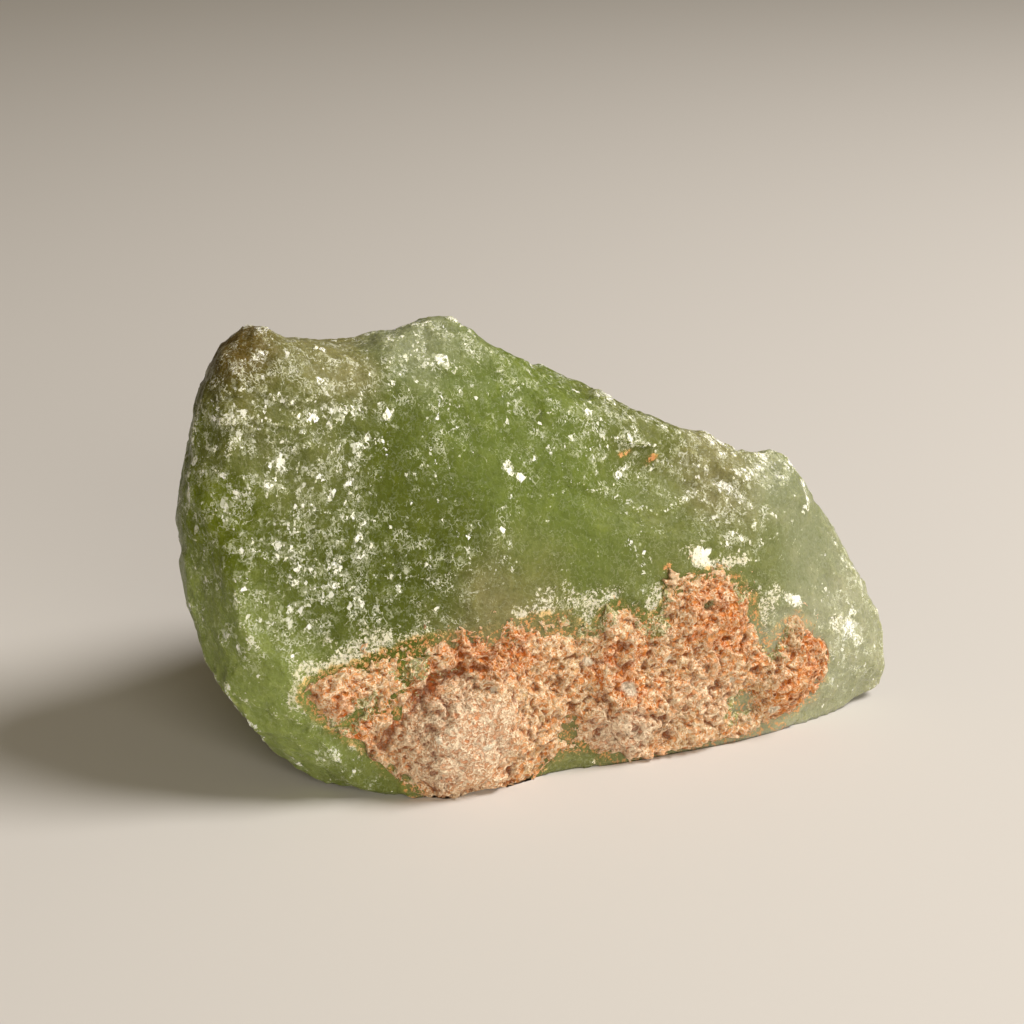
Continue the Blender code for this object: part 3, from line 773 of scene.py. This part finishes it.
# Painted shade: points lying under their neighbours, in small and in wide hollows, are darkened, on top of
# the crease shadow and the dark stains.
smooth_rock = averaged(crust.data, shaped, 10)
sunk = ((smooth_rock - shaped) * FACE_OUT).sum(1)  # how far a point lies under its neighbours
deep_sunk = ((averaged(crust.data, smooth_rock, 30) - shaped) * FACE_OUT).sum(1)  # and under a wider round
painted_hollow_shade_and_stains = rise(0.03, 0.3, sunk) * 0.6 + rise(0.02, 0.75, deep_sunk) + crease_shadow_and_stains
# Painted highlight: points that stand out over their neighbours are lightened towards cream.
painted_highlight_on_tops = rise(0.04, 0.22, -sunk) + 0.4 * rise(0.1, 0.7, -deep_sunk)
give(crust, "sunk", painted_hollow_shade_and_stains)
give(crust, "proud", painted_highlight_on_tops)

green = blots(rock, WINDOWS + MOSSY_PLACES, 0.8, 1.7, 0.4 * wobble)
thin = fade(0.15, 1, above + lift) * rise(8, 13, rock[:, 2])
give(crust, "green", 0.9 * green + 0.45 * thin)
crust.data.shade_smooth()
print("crust points:", len(rock))

# %% [markdown]
# ## Materials from nodes
#
# One helper adds a node and fills or links its sockets by name, and the others stand for the sums that come
# up again and again. Patterns read Object coordinates in millimetres, so that every size is a real one.

# %% Helpers for nodes


def fill(tree, socket, value):
    """Links a socket to another node's output, or sets its number or colour."""
    if isinstance(value, bpy.types.NodeSocket):
        tree.links.new(value, socket)
    elif socket.type == "RGBA":
        socket.default_value = (*value, 1)
    else:
        socket.default_value = value


def fill_in(tree, node, sockets):
    """Fills a node's sockets by name, with an underscore for each space."""
    for name, value in sockets.items():
        fill(tree, node.inputs[name.replace("_", " ")], value)


def add(tree, kind, settings=None, **sockets):
    """Adds a shader node. Each named socket gets a value or a link."""
    made = tree.nodes.new("ShaderNode" + kind)
    for name, value in (settings or {}).items():
        setattr(made, name, value)
    fill_in(tree, made, sockets)
    return made


def maths(tree, operation, a, b=0, kind="Math"):
    """The result of one sum, of numbers or, with the vector kind, of places."""
    made = add(tree, kind, {"operation": operation})
    fill(tree, made.inputs[0], a)
    fill(tree, made.inputs[1], b)
    return made.outputs[0]


def times(tree, *factors):
    result = factors[0]
    for factor in factors[1:]:
        result = maths(tree, "MULTIPLY", result, factor)
    return result


def most(tree, a, b):
    return maths(tree, "MAXIMUM", a, b)


def off(tree, value, middle):
    """How far a value is from a middle one, either way."""
    return maths(tree, "ABSOLUTE", maths(tree, "SUBTRACT", value, middle))


def span(tree, value, start, end, low=0, high=1):
    """Turns a value from start to end into one from low to high, eased at both ends."""
    made = add(tree, "MapRange", {"interpolation_type": "SMOOTHSTEP"}, Value=value,
               From_Min=start, From_Max=end, To_Min=low, To_Max=high)
    return made.outputs["Result"]


def mixed(tree, share, a, b, blend="MIX"):
    """Colour b laid over colour a by a share."""
    made = add(tree, "Mix", {"data_type": "RGBA", "blend_type": blend})
    for number, value in ((0, share), (6, a), (7, b)):
        fill(tree, made.inputs[number], value)
    return made.outputs[2]


def stored(tree, name, output="Fac"):
    """A mark that was stored on the points."""
    return add(tree, "Attribute", {"attribute_name": name}).outputs[output]


def noise_node(tree, place, scale, detail, roughness=0.5, output="Fac"):
    sizes = {"Scale": scale, "Detail": detail, "Roughness": roughness}
    return add(tree, "TexNoise", None, Vector=place, **sizes).outputs[output]


def cells_node(tree, place, scale, distance="EUCLIDEAN"):
    """Voronoi cells: the distance to a cell's middle, and three numbers of the cell's own."""
    settings = {"feature": "F1", "distance": distance}
    made = add(tree, "TexVoronoi", settings, Vector=place, Scale=scale)
    own = add(tree, "SeparateColor", None, Color=made.outputs["Color"])
    return made.outputs["Distance"], own.outputs


def moved(tree, place, by):
    return maths(tree, "ADD", place, by, "VectorMath")


def scaled(tree, place, by):
    made = add(tree, "VectorMath", {"operation": "SCALE"}, Scale=by)
    fill(tree, made.inputs[0], place)
    return made.outputs[0]


def turned(tree, place, angles, stretch):
    """The place turned by angles in degrees, and then stretched along each axis."""
    made = add(tree, "Mapping", {"vector_type": "POINT"}, Vector=place, Scale=stretch)
    made.inputs["Rotation"].default_value = [radians(angle) for angle in angles]
    return made.outputs[0]


def warped(tree, place, scale, by):
    """The place pushed about by noise, up to half of by in each direction."""
    push = noise_node(tree, place, scale, 1, output="Color")
    return moved(tree, place, scaled(tree, moved(tree, push, (-0.5, -0.5, -0.5)), by))


def group(name, inputs, outputs):
    """A new group for a place and some numbers: its tree, its input sockets and its outputs to fill."""
    tree = bpy.data.node_groups.new(name, "ShaderNodeTree")
    tree.interface.new_socket(name="Place", in_out="INPUT", socket_type="NodeSocketVector")
    for label, value in inputs.items():
        socket = tree.interface.new_socket(name=label, in_out="INPUT", socket_type="NodeSocketFloat")
        socket.default_value = value
    for label in outputs:
        tree.interface.new_socket(name=label, in_out="OUTPUT", socket_type="NodeSocketFloat")
    return tree, tree.nodes.new("NodeGroupInput").outputs, tree.nodes.new("NodeGroupOutput").inputs


def place_group(tree, made, **sockets):
    """A group set into a tree, with its sockets filled: its outputs."""
    return add(tree, "Group", {"node_tree": made}, **sockets).outputs


def material_start(name):
    """A new material: its tree, its Principled shader and the place in mm."""
    material = bpy.data.materials.new(name)
    material.use_nodes = True
    tree = material.node_tree
    where = add(tree, "TexCoord").outputs["Object"]
    return material, tree, tree.nodes["Principled BSDF"], scaled(tree, where, 1 / MM)


def material_end(obj, material, shader, colour, roughness, gloss):
    """Fills the shader's usual sockets and gives the material to its object."""
    tree = material.node_tree
    usual = {"Base_Color": colour, "Roughness": roughness, "Specular_IOR_Level": gloss}
    fill_in(tree, shader, usual)
    obj.data.materials.append(material)
    print(material.name, "has", len(tree.nodes), "nodes")


def bumped(tree, shader, relief, strength, depth):
    """Gives the shader a fine bump, depth mm deep."""
    bump = add(tree, "Bump", None, Strength=strength, Distance=depth * MM, Height=relief)
    fill(tree, shader.inputs["Normal"], bump.outputs["Normal"])


# %% [markdown]
# ## Two effects as groups
#
# Flakes is a patchwork of small cells: thin arcs inside some of them, a few kept whole as chips, and a
# shade for each. The calcite wears it in three sizes. Crumble is a sharp-grained noise cut off at a level,
# which leaves ragged crumbs. It is sugar and bruises on the calcite, and moss on the crust.

# %% The flakes group
ARC_WIDTH = 0.055
ARC_SIZES, CHIP_SIZES = (0.2, 0.42), (0.24, 0.48)  # smallest and largest, as shares of a cell

tree, gives, takes = group("Flakes", {"Size": 1, "Arcs": 0.5, "Chips": 0.1}, ["Arcs", "Chips", "Shade"])
distance, own = cells_node(tree, gives["Place"], maths(tree, "DIVIDE", 1, gives["Size"]), "CHEBYCHEV")
off_arc = off(tree, distance, span(tree, own[2], 0, 1, *ARC_SIZES))
arc = maths(tree, "LESS_THAN", off_arc, ARC_WIDTH)
arced = maths(tree, "LESS_THAN", own[0], gives["Arcs"])
fill(tree, takes["Arcs"], times(tree, arc, arced))
chip = maths(tree, "LESS_THAN", distance, span(tree, own[0], 0, 1, *CHIP_SIZES))
chipped = maths(tree, "LESS_THAN", own[1], gives["Chips"])
fill(tree, takes["Chips"], times(tree, chipped, chip))
fill(tree, takes["Shade"], own[2])
flake_marks = tree
print("flakes group nodes:", len(tree.nodes))

# %% The crumble group
CUT_BARE, CUT_DROP = 0.66, 0.26  # the level of the cut with no cover, and how far full cover lowers it
CUT_EDGE = 0.07

tree, gives, takes = group("Crumble", {"Size": 0.4, "Cover": 0.5}, ["Mask"])
grit = noise_node(tree, gives["Place"], maths(tree, "DIVIDE", 1, gives["Size"]), 3, 0.75)
cut = maths(tree, "SUBTRACT", CUT_BARE, times(tree, gives["Cover"], CUT_DROP))
fill(tree, takes["Mask"], span(tree, grit, cut, maths(tree, "ADD", cut, CUT_EDGE)))
crumble_marks = tree
print("crumble group nodes:", len(tree.nodes))

# %% [markdown]
# ## The calcite
#
# Light goes a few millimetres into waxy calcite and comes out again. Subsurface scattering gives that. Over
# the body's colour lie lighter veils and darker specks, which are painted shade of small facets and cracks,
# then the frost: thin curls, chips in bunches, sugar on worn edges and solid bruises, all gathered as one
# number. Frost is rougher than the clear stone.

# %% The calcite's patterns
FLAKE_LAYERS = [  # size in mm, turn in degrees, stretch, share of cells with an arc, share kept as chips
    (1.05, (25, 35, 20), (1, 1, 0.8), 0.65, 0.22),
    (0.55, (-20, 60, 35), (1.3, 0.9, 0.8), 0.75, 0.22),
    (0.32, (40, 10, 75), (1.4, 0.8, 0.9), 0.6, 0.2),
]
SCAR_CHIPS = 2.6  # how much more a scar is chipped

calcite, tree, shader, place = material_start("waxy green calcite")
tint_here = stored(tree, "tint", "Color")
frost_here, ring_here, scars_here, rust_here, worn_here, rims_here = (
    stored(tree, name) for name in ("frost", "ring", "scars", "rust", "worn", "rims"))
shaken = warped(tree, place, 2.6, 0.34)
veils = noise_node(tree, shaken, 0.4, 3, 0.6)
clumps = noise_node(tree, place, 0.5, 2, 0.6)
bunches = noise_node(tree, moved(tree, place, (5, 1, 9)), 0.42, 2, 0.6)
fuzz = noise_node(tree, turned(tree, shaken, (10, 20, 30), (1.5, 1, 0.8)), 1.7, 5, 0.75)
swirl = noise_node(tree, turned(tree, shaken, (0, 30, 15), (1, 1, 0.8)), 1.25, 2, 0.65)
cover = times(tree, frost_here, span(tree, clumps, 0.42, 0.62, 0.06, 1.25))
chip_cover = times(tree, cover, span(tree, bunches, 0.5, 0.6, 0.3, 3))
chip_cover = most(tree, chip_cover, times(tree, scars_here, SCAR_CHIPS))
big, small, tiny = (
    place_group(tree, flake_marks, Place=turned(tree, shaken, turn, stretch), Size=size,
                Arcs=times(tree, cover, arcs), Chips=times(tree, chip_cover, chips))
    for size, turn, stretch, arcs, chips in FLAKE_LAYERS)

# %% The calcite's white: fuzz, arcs and chips, sugar on edges, curls, bruises
white = times(tree, span(tree, fuzz, 0.47, 0.68), times(tree, cover, 0.3))
white = most(tree, white, times(tree, big["Arcs"], span(tree, small["Shade"], 0, 1, 0.15, 0.55)))
for marks, arcs, faintest, brightest in (
        (small, 0.36, 0.3, 0.95), (tiny, 0.28, 0.25, 0.8), (big, 0, 0.6, 1)):
    share = times(tree, marks["Chips"], span(tree, marks["Shade"], 0, 1, faintest, brightest))
    white = most(tree, white, most(tree, share, times(tree, marks["Arcs"], arcs)))
pressed = most(tree, worn_here, most(tree, ring_here, times(tree, rims_here, 0.6)))
sugar = place_group(tree, crumble_marks, Place=place, Size=0.42, Cover=pressed)["Mask"]
white = most(tree, white, times(tree, sugar, span(tree, pressed, 0, 0.6), 0.75))
white = times(tree, white, span(tree, fuzz, 0.4, 0.5, 0.25, 1))
curl = span(tree, off(tree, swirl, 0.5), 0.01, 0.045, 1, 0)
curl = times(tree, curl, span(tree, big["Shade"], 0, 0.7, 0.3, 1))
white = most(tree, white, times(tree, curl, span(tree, cover, 0, 0.4, 0.12, 0.6)))
bruise = place_group(tree, crumble_marks, Place=moved(tree, place, (1, 4, 7)), Size=0.7,
                     Cover=scars_here)["Mask"]
hard_scar = span(tree, times(tree, scars_here, span(tree, fuzz, 0.38, 0.52, 0.55, 1)), 0.46, 0.72)
white = most(tree, white, times(tree, span(tree, bruise, 0, 1, 0.5, 0.95), hard_scar))

# %% The calcite's colours and surface
SUBSURFACE, SUBSURFACE_DEPTH = 0.65, 2.6
SUBSURFACE_REACH = (1, 1, 0.45)  # red and green go deeper than blue

veiled = mixed(tree, 1, tint_here, (1.35, 1.28, 1.35), "MULTIPLY")
body_colour = mixed(tree, span(tree, veils, 0.42, 0.7, 0, 0.5), tint_here, veiled)
# Painted shade: a darker copy of the body's colour, laid on by a shade for each flake cell and along the
# fuzz's cracks, stands for small facets and cracks turned from the light.
shaded = mixed(tree, 1, body_colour, (0.55, 0.58, 0.42), "MULTIPLY")
painted_facet_shade = most(tree, times(tree, big["Shade"], 0.35), span(tree, fuzz, 0.34, 0.47, 0.6, 0))
body_colour = mixed(tree, painted_facet_shade, body_colour, shaded)
faint_frost = mixed(tree, 0.8, tint_here, paint(222, 226, 200))
frost_colour = mixed(tree, span(tree, white, 0.35, 0.8), faint_frost, paint(246, 246, 238))
frost_colour = mixed(tree, times(tree, ring_here, 0.35), frost_colour, paint(226, 208, 164))
frost_colour = mixed(tree, span(tree, rust_here, 0, 0.3), frost_colour, paint(236, 200, 140))
haze = times(tree, span(tree, veils, 0.38, 0.66), times(tree, frost_here, 0.02))
skin = mixed(tree, haze, body_colour, frost_colour)
skin = mixed(tree, white, skin, frost_colour)
rusty_grit = place_group(tree, crumble_marks, Place=moved(tree, place, (4, 9, 2)), Size=0.5,
                         Cover=rust_here)["Mask"]
rust_colour = mixed(tree, sugar, paint(222, 158, 104), paint(244, 216, 172))
skin = mixed(tree, times(tree, rusty_grit, span(tree, rust_here, 0, 0.7), 0.85), skin, rust_colour)
waxy = {"Subsurface_Weight": SUBSURFACE, "Subsurface_Radius": SUBSURFACE_REACH,
        "Subsurface_Scale": SUBSURFACE_DEPTH * MM, "IOR": 1.5}
fill_in(tree, shader, waxy)
bumped(tree, shader, noise_node(tree, place, 1.6, 3, 0.6), 0.7, 0.4)
material_end(stone, calcite, shader, skin, span(tree, white, 0, 1, 0.3, 0.7), 0.1)

# %% [markdown]
# ## The crust
#
# The crust is dry and matt. Its colour changes from grain to grain, and the stored marks turn it to rust or
# to a greyish pink, darken its hollows with painted shade and lighten its raised tops with a painted
# highlight. A lace of thin pale walls runs over it, with painted shade in the hollows between them.

# %% The crust's material
rust_rock, tree, shader, place = material_start("rusty crumbly rock")
rust_here, hollow_shade_here, green_here, grey_here, top_highlight_here, chips_here = (
    stored(tree, name) for name in ("rust", "sunk", "green", "grey", "proud", "chips"))
grit = warped(tree, place, 2.2, 0.5)
grain = cells_node(tree, grit, 1.5)[1]
stains = noise_node(tree, grit, 0.5, 4, 0.65)
off_wall = off(tree, noise_node(tree, grit, 1.45, 3, 0.62), 0.5)
lace = span(tree, off_wall, 0, 0.055, 1, 0)  # thin pale walls
shaded_pores = span(tree, off_wall, 0.05, 0.16)  # painted shade in the hollows between them
rust_share = maths(tree, "ADD", rust_here, span(tree, stains, 0.36, 0.68, -0.55, 0.45))

peach = mixed(tree, grain[0], paint(255, 216, 160), paint(255, 172, 100))
grey = mixed(tree, grain[1], paint(255, 230, 198), paint(236, 180, 138))
rusty = mixed(tree, grain[2], paint(255, 170, 86), paint(232, 122, 44))
moss_colour = mixed(tree, grain[0], paint(176, 180, 122), paint(118, 130, 66))
moss_colour = mixed(tree, lace, moss_colour, paint(232, 230, 190))
moss = place_group(tree, crumble_marks, Place=place, Size=0.6, Cover=green_here)["Mask"]
COATS = [  # laid over the grains one after another: how much of it, and its colour
    (grey_here, grey),
    (span(tree, rust_share, 0.05, 0.95, 0, 0.95), rusty),
    # painted shade in the pores
    (times(tree, shaded_pores, 0.5), paint(158, 72, 22)),
    (times(tree, lace, span(tree, rust_share, 0.3, 1, 0.95, 0.55)), paint(255, 236, 208)),
    # painted highlight on the raised tops
    (times(tree, top_highlight_here, 0.4), paint(255, 228, 194)),
    # painted shade in the hollows and the crease, with the dark stains
    (times(tree, hollow_shade_here, 0.74), paint(124, 48, 8)),
    (times(tree, moss, span(tree, green_here, 0.05, 0.6, 0, 0.85)), moss_colour),
    (times(tree, chips_here, 0.75), paint(255, 246, 224)),
]
rock_colour = peach
for share, colour in COATS:
    rock_colour = mixed(tree, share, rock_colour, colour)
walls_up = maths(tree, "ADD", span(tree, off_wall, 0, 0.14, 1, 0), times(tree, stains, 0.6))
bumped(tree, shader, walls_up, 0.9, 0.35)
material_end(crust, rust_rock, shader, rock_colour, 0.9, 0.2)

# %% [markdown]
# ## Joining the frame
#
# Each piece rides on the part's one body and stands for its solid.

# %% Ride and replace
for piece, node, slot in ((stone, "calcite", "calcite"), (crust, "matrix_crust", "matrix_crust")):
    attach(piece, "root")
    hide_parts(node)
    print(piece.name, "stands for", node)

# %% [markdown]
# ## Floor, light and camera
#
# The plain pale floor is so wide that its far edge isn't seen. One soft light stands to the right, a weaker
# and warmer one fills in from the front, and a dim warm world keeps the shadow from going black. The
# Standard view shows pale colours as they are lit.

# %% The floor
FLOOR_SIZE = 12000
ground = bmesh.new()
bmesh.ops.create_grid(ground, x_segments=1, y_segments=1, size=0.5 * FLOOR_SIZE * MM)
floor = object_from(ground, "floor")
floor.location.z = low[2] * MM
pale, _, shader, _ = material_start("plain pale floor")
material_end(floor, pale, shader, paint(209, 206, 204), 0.9, 0.2)

# %% The lights
TARGET = Vector((-1.3, 1.3, 25))  # what the lights and the camera look at
LIGHTS = [  # name, azimuth and elevation in degrees, distance, size, power in watts, colour
    ("key", 66, 50, 900, 420, 9, (1, 0.95, 0.89)),
    ("fill", 0, 12, 700, 500, 3.8, (1, 0.93, 0.8)),
]
WORLD_COLOUR, WORLD_STRENGTH = (1, 0.8, 0.42), 0.12


def aim(obj, azimuth, elevation, distance):
    """Links an object and sets it at these angles, turned to look at the target."""
    a = radians(azimuth)
    e = radians(elevation)
    direction = Vector((sin(a) * cos(e), -cos(a) * cos(e), sin(e)))
    bpy.context.scene.collection.objects.link(obj)
    obj.location = (TARGET + direction * distance) * MM
    obj.rotation_euler = direction.to_track_quat("Z", "Y").to_euler()


for name, azimuth, elevation, distance, size, power, colour in LIGHTS:
    light = bpy.data.lights.new(name, "AREA")
    light.shape = "DISK"
    light.size = size * MM
    light.energy = power
    light.color = colour
    aim(bpy.data.objects.new(name, light), azimuth, elevation, distance)
world = bpy.data.worlds.new("soft room")
world.use_nodes = True
sky = world.node_tree.nodes["Background"]
fill(world.node_tree, sky.inputs["Color"], WORLD_COLOUR)
sky.inputs["Strength"].default_value = WORLD_STRENGTH
bpy.context.scene.world = world
print("lights:", [light[0] for light in LIGHTS])

# %% The camera
VIEW_AZIMUTH, VIEW_ELEVATION = -21, 22
VIEW_ANGLE = 28
VIEW_DISTANCE = 255.5

lens = bpy.data.cameras.new("camera")
lens.sensor_width = 36
lens.angle = radians(VIEW_ANGLE)
lens.clip_start = 0.01
camera = bpy.data.objects.new("camera", lens)
aim(camera, VIEW_AZIMUTH, VIEW_ELEVATION, VIEW_DISTANCE)
bpy.context.scene.camera = camera
bpy.context.scene.view_settings.view_transform = "Standard"
print("the lens is", round(lens.lens, 1), "mm")
